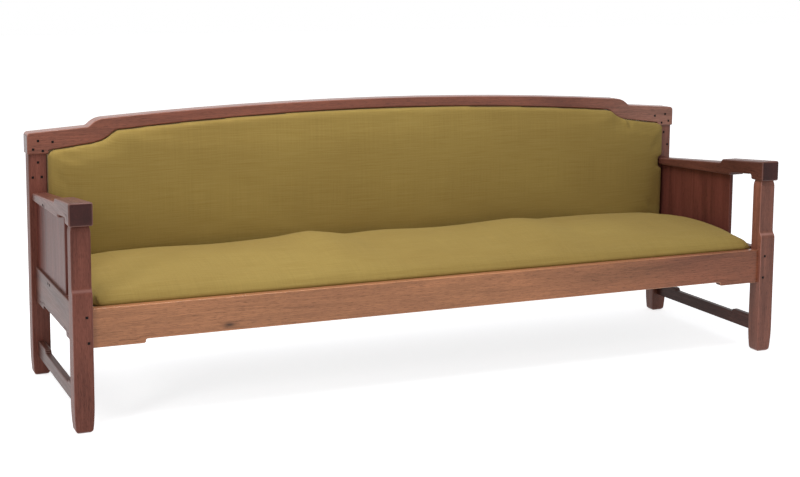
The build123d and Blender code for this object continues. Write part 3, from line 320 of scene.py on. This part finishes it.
# Seat and back are covered in one olive cloth, a plain weave whose uneven yarns leave faint
# bars both ways. The threads are drawn by two sets of waves that lie across each other.
def olive_cloth(name, warp):
    """The cover cloth. warp is the way that its long threads run over the piece."""
    material, tree, film = new_finish(name)
    place = tree.nodes.new("ShaderNodeTexCoord")
    run = tree.nodes.new("ShaderNodeVectorMath")
    run.operation = "DOT_PRODUCT"
    run.inputs[1].default_value = warp
    tree.links.new(place.outputs["Object"], run.inputs[0])
    flat = tree.nodes.new("ShaderNodeCombineXYZ")
    tree.links.new(split_place(tree)["X"], flat.inputs["X"])
    tree.links.new(run.outputs["Value"], flat.inputs["Y"])
    flat = flat.outputs["Vector"]

    def yarns(along, across):
        stretch = tree.nodes.new("ShaderNodeMapping")
        stretch.inputs["Scale"].default_value = (along, across, 1.0)
        tree.links.new(flat, stretch.inputs["Vector"])
        return stretch.outputs["Vector"]

    weft_bars = noise(tree, yarns(7.0, 300.0), 4, 0.65)
    warp_bars = noise(tree, yarns(280.0, 5.0), 4, 0.65)
    fade = noise(tree, yarns(1.7, 2.6), 2, 0.5)
    colour = ramp(tree, weft_bars, (0.30, (0.300, 0.203, 0.051)), (0.70, (0.365, 0.258, 0.074)))
    colour = tint(tree, "MULTIPLY", 0.8, colour,
                  ramp(tree, warp_bars, (0.3, grey(0.91)), (0.7, grey(1.05))))
    colour = tint(tree, "MULTIPLY", 0.6, colour,
                  ramp(tree, fade, (0.35, (0.88, 0.84, 0.80)), (0.65, (1.05, 1.05, 1.02))))
    threads = []
    for direction in ("X", "Y"):
        wave = tree.nodes.new("ShaderNodeTexWave")
        wave.bands_direction = direction
        wave.inputs["Scale"].default_value = 220.0
        wave.inputs["Distortion"].default_value = 0.6
        wave.inputs["Detail"].default_value = 1.0
        tree.links.new(flat, wave.inputs["Vector"])
        threads.append(wave.outputs["Fac"])
    weave = sums(tree, "MULTIPLY", threads[0], threads[1])
    colour = tint(tree, "MULTIPLY", 0.3, colour,
                  ramp(tree, weave, (0.0, grey(0.78)), (0.5, grey(1.06))))
    tree.links.new(colour, film.inputs["Base Color"])
    film.inputs["Roughness"].default_value = 0.9
    film.inputs["Specular IOR Level"].default_value = 0.18
    film.inputs["Sheen Weight"].default_value = 0.08
    film.inputs["Sheen Roughness"].default_value = 0.5
    film.inputs["Sheen Tint"].default_value = (0.85, 0.75, 0.45, 1.0)
    normal = relief(tree, weave, 0.00022)
    normal = relief(tree, weft_bars, 0.00025, normal)
    tree.links.new(normal, film.inputs["Normal"])
    return material


def only(piece):
    """Make this piece the one that the next operators act on."""
    bpy.ops.object.select_all(action="DESELECT")
    piece.select_set(True)
    bpy.context.view_layer.objects.active = piece


def own_copy(source, name):
    """A merged copy of a CAD node, free to be reshaped. The normals that the CAD stored go,
    because they wouldn't fit the new shape."""
    piece = node[source].copy()
    piece.data = node[source].data.copy()
    piece.name = name
    piece.data.name = name
    piece.parent = None
    for key in list(piece.keys()):
        del piece[key]
    bpy.context.scene.collection.objects.link(piece)
    only(piece)
    bpy.ops.mesh.customdata_custom_splitnormals_clear()
    mesh = bmesh.new()
    mesh.from_mesh(piece.data)
    bmesh.ops.remove_doubles(mesh, verts=mesh.verts, dist=0.00002)
    mesh.to_mesh(piece.data)
    mesh.free()
    return piece


def apply_all(piece):
    only(piece)
    for modifier in list(piece.modifiers):
        bpy.ops.object.modifier_apply(modifier=modifier.name)


def ease(value, start, end):
    """0 before start, 1 after end, and a soft step between."""
    share = min(1.0, max(0.0, (value - start) / (end - start)))
    return share * share * (3.0 - 2.0 * share)


def mound(value, middle, half):
    """A soft bump, 1 at its middle and 0 past its half width."""
    return 1.0 - ease(abs(value - middle), 0.0, half)


CLOTH_FRAMES = 20


def stuff(piece, voxel, rounding, swell, held, loose):
    """Turn a copied cushion solid into padded cloth: even mesh, soft edges, a little pressure.
    swell is the furthest that pressure moves a point, held says where the cloth is tacked, and
    loose how far a point may soften, 0 to 1."""
    remesh = piece.modifiers.new("even", "REMESH")
    remesh.mode = "VOXEL"
    remesh.voxel_size = voxel
    apply_all(piece)
    free = piece.vertex_groups.new(name="loose")
    for v in piece.data.vertices:
        free.add([v.index], loose(v.co), "REPLACE")
    soften = piece.modifiers.new("soften", "SMOOTH")
    soften.factor = 0.5
    soften.iterations = rounding
    soften.vertex_group = "loose"
    apply_all(piece)
    before = [v.co.copy() for v in piece.data.vertices]
    fixed = piece.vertex_groups.new(name="tacked")
    fixed.add([v.index for v in piece.data.vertices if held(v.co)], 1.0, "REPLACE")
    cloth = piece.modifiers.new("cloth", "CLOTH")
    cloth.settings.quality = 4
    cloth.settings.mass = 0.4
    cloth.settings.tension_stiffness = 25
    cloth.settings.compression_stiffness = 25
    cloth.settings.bending_stiffness = 1.5
    cloth.settings.use_pressure = True
    cloth.settings.uniform_pressure_force = 3.0
    cloth.settings.effector_weights.gravity = 0.0
    cloth.settings.vertex_group_mass = "tacked"
    cloth.collision_settings.use_collision = False
    cloth.collision_settings.use_self_collision = False
    cloth.point_cache.frame_start = 1
    cloth.point_cache.frame_end = CLOTH_FRAMES
    for step in range(1, CLOTH_FRAMES + 1):
        bpy.context.scene.frame_set(step)
    apply_all(piece)
    bpy.context.scene.frame_set(1)
    for v, start in zip(piece.data.vertices, before):
        move = v.co - start
        if move.length > swell:
            v.co = start + move.normalized() * swell
    settle = piece.modifiers.new("settle", "SMOOTH")
    settle.factor = 0.5
    settle.iterations = 4
    settle.vertex_group = "loose"
    apply_all(piece)
    only(piece)
    bpy.ops.object.shade_smooth()


# The seat is one long pad of stuffing over webbing, under cloth drawn tight at its rim. It is
# highest a little behind the middle, rolls down to the front rail, sags a little between the
# cross rails of its frame and stands up over them. Its left front corner is drawn in.
# Up from the pad's underside, the cloth is tacked over the first height, and it turns from firm
# to soft between the next two.
SEAT_TACKED_BAND = 0.012
SEAT_FIRM_BAND = (0.006, 0.024)
# The sags set in between these heights above the floor.
SEAT_SAG_HEIGHTS = (0.385, 0.425)
# Each sag has its middle and half width along the seat, and its depth. A rise has a minus sign.
SEAT_SAGS = ((-1.06, 0.08, 0.0040), (-0.64, 0.24, 0.0042), (-0.17, 0.13, 0.0055),
             (0.15, 0.24, 0.0056), (0.54, 0.08, 0.0026), (-0.36, 0.07, -0.0030),
             (0.76, 0.17, -0.0018))
# The corner is drawn in by the first value, past the next two bands and under the last.
CORNER_DRAW = 0.014
CORNER_SIDE = (1.132, 1.148)
CORNER_FRONT = (0.270, 0.300)
CORNER_HEIGHTS = (0.380, 0.394)
seat_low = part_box("seat_cushion")[0]
seat = own_copy("seat_cushion", "seat_upholstery")
stuff(seat, voxel=0.0095, rounding=12, swell=0.003,
      held=lambda co: co.z < seat_low.z + SEAT_TACKED_BAND,
      loose=lambda co: ease(co.z, *(seat_low.z + height for height in SEAT_FIRM_BAND)))
for v in seat.data.vertices:
    top = ease(v.co.z, *SEAT_SAG_HEIGHTS)
    v.co.z -= top * sum(depth * mound(v.co.x, middle, half) for middle, half, depth in SEAT_SAGS)
    corner = ease(-v.co.x, *CORNER_SIDE) * ease(-v.co.y, *CORNER_FRONT)
    v.co.x += CORNER_DRAW * corner * (1.0 - ease(v.co.z, *CORNER_HEIGHTS))
cover(seat, olive_cloth("seat_cloth", (0.0, 1.0, 1.0)))
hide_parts("seat_cushion")
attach(seat, "root")


# The back pad follows the lower edge of the crest rail, and its cloth turns over all round
# its rim and is tacked behind. Its roll swells over the crest's lower edge and over the right
# post but not over the arm, and the cloth has one small fold where the edge drops at the right.
def top_edge(mesh, column):
    """The height of the pad's top edge at any x, from the highest point in narrow columns."""
    tops = {}
    for v in mesh.verts:
        at = round(v.co.x / column)
        tops[at] = max(tops.get(at, 0.0), v.co.z)

    def height(x):
        place = x / column
        below = math.floor(place)
        left = tops.get(below, 0.0)
        right = tops.get(below + 1, left)
        return left * (below + 1 - place) + right * (place - below)

    return height


def way_from(line, point):
    """The way to this point from the nearest one on a line through the points given."""
    ways = []
    for start, end in zip(line, line[1:]):
        run = Vector(end) - Vector(start)
        share = max(0.0, min(1.0, (point - Vector(start)).dot(run) / run.length_squared))
        ways.append(point - (Vector(start) + run * share))
    return min(ways, key=lambda way: way.length)


# In from the pad's rear, the cloth turns from soft to firm between these depths.
BACK_FIRM_BAND = (0.012, 0.004)
# The top roll rises by the first value. It sets in below the top edge and ends at these depths.
TOP_COLUMN = 0.02
ROLL_RISE = 0.0055
ROLL_BAND = (0.035, 0.004)
ROLL_DEPTHS = (0.270, 0.2915)
# The side roll goes out over the right post by the first value, but stays clear of the arm,
# whose rear end is at this height.
POST_ROLL = 0.016
POST_ROLL_SIDE = (1.105, 1.150)
POST_ROLL_DEPTHS = (0.286, 0.2985)
ARM_END = 0.590
ARM_CLEAR = (0.016, 0.027)
# The fold is a ridge along this line, in x and z, with a dip beside it. It is on the pad's face
# only, fades out below, and the mesh is finer within reach of its middle.
FOLD = ((0.942, 0.792), (0.968, 0.780), (0.989, 0.758), (1.000, 0.728))
FOLD_MIDDLE = Vector((0.975, 0.765))
FOLD_REACH = 0.075
FOLD_DEPTH = 0.0050
FOLD_DIP = Vector((0.013, 0.008))
RIDGE_WIDTH = 0.0085
DIP_WIDTH = 0.009
FOLD_HEIGHTS = (0.722, 0.745)
FACE_DEPTHS = (0.275, 0.290)
FACE_BACK = 0.285
back_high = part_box("back_cushion")[1]
back = own_copy("back_cushion", "back_upholstery")
stuff(back, voxel=0.009, rounding=4, swell=0.004,
      held=lambda co: co.y > back_high.y - BACK_FIRM_BAND[0],
      loose=lambda co: 1.0 - ease(co.y, *(back_high.y - depth for depth in BACK_FIRM_BAND)))
mesh = bmesh.new()
mesh.from_mesh(back.data)
near_fold = [e for e in mesh.edges if (e.verts[0].co.xz - FOLD_MIDDLE).length < FOLD_REACH
             and e.verts[0].co.y < FACE_BACK]
bmesh.ops.subdivide_edges(mesh, edges=near_fold, cuts=1, use_grid_fill=True)
edge_at = top_edge(mesh, TOP_COLUMN)
for v in mesh.verts:
    edge = edge_at(v.co.x)
    roll = ease(v.co.z, edge - ROLL_BAND[0], edge - ROLL_BAND[1])
    roll *= 1.0 - ease(v.co.y, *ROLL_DEPTHS)
    side_roll = ease(v.co.x, *POST_ROLL_SIDE) * (1.0 - ease(v.co.y, *POST_ROLL_DEPTHS))
    from_fold = way_from(FOLD, v.co.xz)
    ridge = math.exp(-(from_fold.length / RIDGE_WIDTH) ** 2)
    dip = math.exp(-((from_fold - FOLD_DIP).length / DIP_WIDTH) ** 2)
    fold = (1.0 - ease(v.co.y, *FACE_DEPTHS)) * ease(v.co.z, *FOLD_HEIGHTS)
    v.co.z += ROLL_RISE * roll
    v.co.x += POST_ROLL * ease(abs(v.co.z - ARM_END), *ARM_CLEAR) * side_roll
    v.co.y += fold * FOLD_DEPTH * (dip - ridge)
mesh.to_mesh(back.data)
mesh.free()
cover(back, olive_cloth("back_cloth", (0.0, -1.0, 1.0)))
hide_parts("back_cushion")
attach(back, "root")


# The rear of the back is closed by the same cloth, pulled flat over the loose frame and held
# at its edges. It sinks a little in the three bays between the frame's members.
SHEET_THICKNESS_SHARE = 0.9


def cloth_panel(source, name, outward, cell, bays, sink):
    """A tight sheet made from one face of a CAD cloth solid, cut into cells. It sinks in each
    bay, given by two corners. The sheet is a little thinner than the solid that it stands for."""
    low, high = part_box(source)
    sheet = own_copy(source, name)
    mesh = bmesh.new()
    mesh.from_mesh(sheet.data)
    away = [f for f in mesh.faces if f.normal.dot(outward) < 0.7]
    bmesh.ops.delete(mesh, geom=away, context="FACES")
    axes = [i for i in range(3) if abs(outward[i]) < 0.5]
    for axis in axes:
        normal = Vector([1.0 if i == axis else 0.0 for i in range(3)])
        count = int((high[axis] - low[axis]) / cell)
        for index in range(1, count):
            level = low[axis] + (high[axis] - low[axis]) * index / count
            bmesh.ops.bisect_plane(mesh, geom=mesh.verts[:] + mesh.edges[:] + mesh.faces[:],
                                   plane_co=normal * level, plane_no=normal, dist=0.00001)
    for v in mesh.verts:
        for start, end in bays:
            inside = 1.0
            for axis in axes:
                share = (v.co[axis] - start[axis]) / (end[axis] - start[axis])
                inside *= max(0.0, 4.0 * share * (1.0 - share))
            v.co -= outward * sink * inside**0.5
    mesh.to_mesh(sheet.data)
    mesh.free()
    thicken = sheet.modifiers.new("thickness", "SOLIDIFY")
    thicken.thickness = (high - low).dot(Vector([abs(c) for c in outward]))
    thicken.thickness *= SHEET_THICKNESS_SHARE
    thicken.offset = -1.0
    apply_all(sheet)
    bpy.ops.object.shade_smooth_by_angle(angle=math.radians(30))
    return sheet


uprights = ("back_frame_stile_left", "back_frame_muntin_left", "back_frame_muntin_right",
            "back_frame_stile_right")
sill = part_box("back_frame_bottom")[1].z
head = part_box("back_frame_stile_left")[1].z
back_bays = [((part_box(left)[1].x, 0.0, sill), (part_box(right)[0].x, 0.0, head))
             for left, right in zip(uprights, uprights[1:])]
outside_back = cloth_panel("outside_back", "outside_back_cloth", Vector((0, 1, 0)), cell=0.04,
                           bays=back_bays, sink=0.0025)
cover(outside_back, olive_cloth("outside_back_weave", (0.0, 0.0, 1.0)))
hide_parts("outside_back")
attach(outside_back, "root")


# A thin black lining cloth closes the underside of the seat between the cleats. It keeps the
# dust of the stuffing in and is tacked flat over the loose seat's frame.
def lining():
    material, tree, film = new_finish("black_lining")
    lint = noise(tree, grain_space(tree, "x", 300.0, 900.0), 4, 0.7)
    crease = noise(tree, grain_space(tree, "x", 4.0, 9.0), 3, 0.5)
    tree.links.new(ramp(tree, lint, (0.3, grey(0.012)), (0.75, grey(0.045))),
                   film.inputs["Base Color"])
    film.inputs["Roughness"].default_value = 0.9
    tree.links.new(relief(tree, crease, 0.002), film.inputs["Normal"])
    return material


dust_cloth = cloth_panel("dust_cover", "dust_cloth", Vector((0, 0, -1)), cell=0.07, bays=[],
                         sink=0.0)
cover(dust_cloth, lining())
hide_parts("dust_cover")
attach(dust_cloth, "root")


# Jute webbing carries the stuffing. It lies between the frames and the pads, where only its
# straps' edges could be seen.
def jute():
    material, tree, film = new_finish("jute_webbing")
    yarn = noise(tree, grain_space(tree, "x", 500.0, 500.0), 3, 0.6)
    tree.links.new(ramp(tree, yarn, (0.3, (0.20, 0.14, 0.07)), (0.7, (0.42, 0.31, 0.18))),
                   film.inputs["Base Color"])
    film.inputs["Roughness"].default_value = 0.95
    tree.links.new(relief(tree, yarn, 0.0005), film.inputs["Normal"])
    return material


finish(jute(), "seat_webbing", "back_webbing")


# Round-headed steel screws hold the loose seat down through its cleats, two to each length, and
# the loose back through its battens. They are dull zinc grey, with a straight slot.
def screw_steel():
    material, tree, film = new_finish("screw_steel")
    speck = noise(tree, grain_space(tree, "z", 900.0, 900.0), 3, 0.6)
    tree.links.new(ramp(tree, speck, (0.3, (0.20, 0.19, 0.18)), (0.7, (0.42, 0.41, 0.39))),
                   film.inputs["Base Color"])
    tree.links.new(ramp(tree, speck, (0.3, grey(0.55)), (0.7, grey(0.32))),
                   film.inputs["Roughness"])
    film.inputs["Metallic"].default_value = 1.0
    tree.links.new(relief(tree, speck, 0.00008), film.inputs["Normal"])
    return material


HEAD_RADIUS = 0.0042
HEAD_RIM = 0.0016
# Each step of the round top has its rise and the share of the radius that it keeps.
HEAD_STEPS = ((0.0006, 0.86), (0.0004, 0.78), (0.0002, 0.70))
SLOT_HALF = 0.00055
SLOT_DEPTH = 0.0011


def screw_head():
    """One slotted round head that stands on the plane z = 0."""
    bpy.ops.object.select_all(action="DESELECT")
    bpy.ops.mesh.primitive_cylinder_add(vertices=24, radius=HEAD_RADIUS, depth=HEAD_RIM,
                                        location=(0.0, 0.0, HEAD_RIM / 2))
    head = bpy.context.active_object
    bpy.ops.object.transform_apply(location=True, rotation=True, scale=True)
    bpy.ops.object.mode_set(mode="EDIT")
    for rise, share in HEAD_STEPS:
        bpy.ops.mesh.select_mode(type="FACE")
        bpy.ops.mesh.select_all(action="DESELECT")
        shell = bmesh.from_edit_mesh(head.data)
        max(shell.faces, key=lambda f: f.calc_center_median().z).select = True
        bmesh.update_edit_mesh(head.data)
        bpy.ops.mesh.extrude_region_move(TRANSFORM_OT_translate={"value": (0.0, 0.0, rise)})
        bpy.ops.transform.resize(value=(share, share, 1.0))
    for side in (-1.0, 1.0):
        bpy.ops.mesh.select_all(action="SELECT")
        bpy.ops.mesh.bisect(plane_co=(side * SLOT_HALF, 0.0, 0.0), plane_no=(1.0, 0.0, 0.0))
    bpy.ops.mesh.select_all(action="DESELECT")
    shell = bmesh.from_edit_mesh(head.data)
    for face in shell.faces:
        face.select = abs(face.calc_center_median().x) < SLOT_HALF and face.normal.z > 0.1
    bmesh.update_edit_mesh(head.data)
    bpy.ops.mesh.extrude_region_move(TRANSFORM_OT_translate={"value": (0.0, 0.0, -SLOT_DEPTH)})
    bpy.ops.object.mode_set(mode="OBJECT")
    bpy.ops.object.shade_smooth_by_angle(angle=math.radians(40))
    head.data.materials.append(screw_steel())
    return head


# The seat's screws point up through the cleats, and the back's point forwards.
CLEAT_MIDDLES = (-0.776, 0.0, 0.776)
SCREW_REACH = 0.24
CLEAT_HALF_WIDTH = 0.0125
BATTEN_SCREW_HEIGHTS = (0.42, 0.60)
TURN_BETWEEN_SCREWS = 0.7
cleats_low, cleats_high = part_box("seat_cleats")
cleat_rows = (cleats_low.y + CLEAT_HALF_WIDTH, cleats_high.y - CLEAT_HALF_WIDTH)
screws = [(Vector((middle + way * SCREW_REACH, y, cleats_low.z)), math.pi)
          for middle in CLEAT_MIDDLES for y in cleat_rows for way in (-1.0, 1.0)]
for batten in ("back_batten_left", "back_batten_right"):
    low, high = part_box(batten)
    screws += [(Vector(((low.x + high.x) / 2, high.y, z)), -math.pi / 2)
               for z in BATTEN_SCREW_HEIGHTS]
pattern = screw_head()
for number, (place, tilt) in enumerate(screws):
    screw = pattern.copy()
    screw.data = pattern.data.copy()
    screw.name = "screw_%02d" % (number + 1)
    bpy.context.scene.collection.objects.link(screw)
    twist = Matrix.Rotation(TURN_BETWEEN_SCREWS * number, 4, "Z")
    screw.data.transform(Matrix.Translation(place) @ Matrix.Rotation(tilt, 4, "X") @ twist)
    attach(screw, "root")
bpy.data.objects.remove(pattern)


# The settle stands on a white studio floor that runs up into a white backdrop. Floor and world
# look white to the camera, and the floor still takes the settle's soft shadow.
def white_rays(tree):
    """1 for what the camera sees, straight on or by a reflection or through glass."""
    path = tree.nodes.new("ShaderNodeLightPath")
    seen = sums(tree, "MAXIMUM", path.outputs["Is Camera Ray"], path.outputs["Is Glossy Ray"])
    return sums(tree, "MAXIMUM", seen, path.outputs["Is Transmission Ray"])


FLOOR_GAP = 0.0005


def studio_white():
    material, tree, paper = new_finish("studio_floor")
    paper.inputs["Base Color"].default_value = (0.88, 0.88, 0.88, 1.0)
    paper.inputs["Roughness"].default_value = 0.9
    glow = tree.nodes.new("ShaderNodeEmission")
    glow.inputs["Strength"].default_value = 0.75
    both = tree.nodes.new("ShaderNodeAddShader")
    seen = white_rays(tree)
    pick = tree.nodes.new("ShaderNodeMixShader")
    tree.links.new(paper.outputs["BSDF"], both.inputs[0])
    tree.links.new(glow.outputs["Emission"], both.inputs[1])
    tree.links.new(seen, pick.inputs["Fac"])
    tree.links.new(paper.outputs["BSDF"], pick.inputs[1])
    tree.links.new(both.outputs["Shader"], pick.inputs[2])
    tree.links.new(pick.outputs["Shader"], tree.nodes["Material Output"].inputs["Surface"])
    return material


bpy.ops.object.select_all(action="DESELECT")
bpy.ops.mesh.primitive_plane_add(size=40.0, location=(0.0, 0.0, -FLOOR_GAP))
floor = bpy.context.active_object
floor.name = "studio_floor"
floor.data.materials.append(studio_white())

world = bpy.data.worlds.new("studio_air")
bpy.context.scene.world = world
world.use_nodes = True
air = world.node_tree
room = air.nodes["Background"]
room.inputs["Color"].default_value = (0.93, 0.95, 1.0, 1.0)
room.inputs["Strength"].default_value = 0.42
white = air.nodes.new("ShaderNodeBackground")
white.inputs["Color"].default_value = (1.0, 1.0, 1.0, 1.0)
white.inputs["Strength"].default_value = 1.0
pick = air.nodes.new("ShaderNodeMixShader")
air.links.new(white_rays(air), pick.inputs["Fac"])
air.links.new(room.outputs["Background"], pick.inputs[1])
air.links.new(white.outputs["Background"], pick.inputs[2])
air.links.new(pick.outputs["Shader"], air.nodes["World Output"].inputs["Surface"])


# Two soft boxes light it, a long one above and a key at the left, and the room fills the rest.
def soft_box(name, place, target, width, height, power):
    """A rectangular lamp at its place, aimed at its target."""
    lamp = bpy.data.lights.new(name, "AREA")
    lamp.shape = "RECTANGLE"
    lamp.size = width
    lamp.size_y = height
    lamp.energy = power
    box = bpy.data.objects.new(name, lamp)
    bpy.context.scene.collection.objects.link(box)
    aim = (Vector(target) - Vector(place)).to_track_quat("-Z", "Y")
    box.matrix_world = Matrix.Translation(place) @ aim.to_matrix().to_4x4()


soft_box("top_box", (-0.7, -0.6, 2.7), (-0.2, 0.0, 0.4), width=3.4, height=0.5, power=62)
soft_box("left_key", (-4.0, -2.6, 1.9), (0.0, 0.0, 0.5), width=0.9, height=1.4, power=37)

# The camera stands to the left of the settle at standing height, turned to the right and
# slightly down. The picture is cut from the lower part of a larger one, so its lens is shifted.
CAMERA_PLACE = (-2.0368, -4.5007, 1.3702)
CAMERA_YAW = 0.4154
CAMERA_PITCH = 0.1306
CAMERA_ROLL = 0.0071
PICTURE_WIDTH = 800
PICTURE_HEIGHT = 477
FOCAL_PIXELS = 1495.49
CENTRE_ROW = 150.0
forward = Vector((math.sin(CAMERA_YAW) * math.cos(CAMERA_PITCH),
                  math.cos(CAMERA_YAW) * math.cos(CAMERA_PITCH), -math.sin(CAMERA_PITCH)))
level_right = Vector((math.cos(CAMERA_YAW), -math.sin(CAMERA_YAW), 0.0))
level_up = level_right.cross(forward)
right = level_right * math.cos(CAMERA_ROLL) + level_up * math.sin(CAMERA_ROLL)
up = level_up * math.cos(CAMERA_ROLL) - level_right * math.sin(CAMERA_ROLL)
lens = bpy.data.cameras.new("studio_camera")
lens.sensor_fit = "HORIZONTAL"
lens.sensor_width = 36.0
lens.lens = FOCAL_PIXELS / PICTURE_WIDTH * lens.sensor_width
lens.shift_y = (CENTRE_ROW - PICTURE_HEIGHT / 2) / PICTURE_WIDTH
lens.clip_end = 60.0
camera = bpy.data.objects.new("studio_camera", lens)
bpy.context.scene.collection.objects.link(camera)
turn = Matrix((right, up, -forward)).transposed().to_4x4()
camera.matrix_world = Matrix.Translation(CAMERA_PLACE) @ turn
bpy.context.scene.camera = camera
bpy.context.scene.view_settings.view_transform = "Standard"
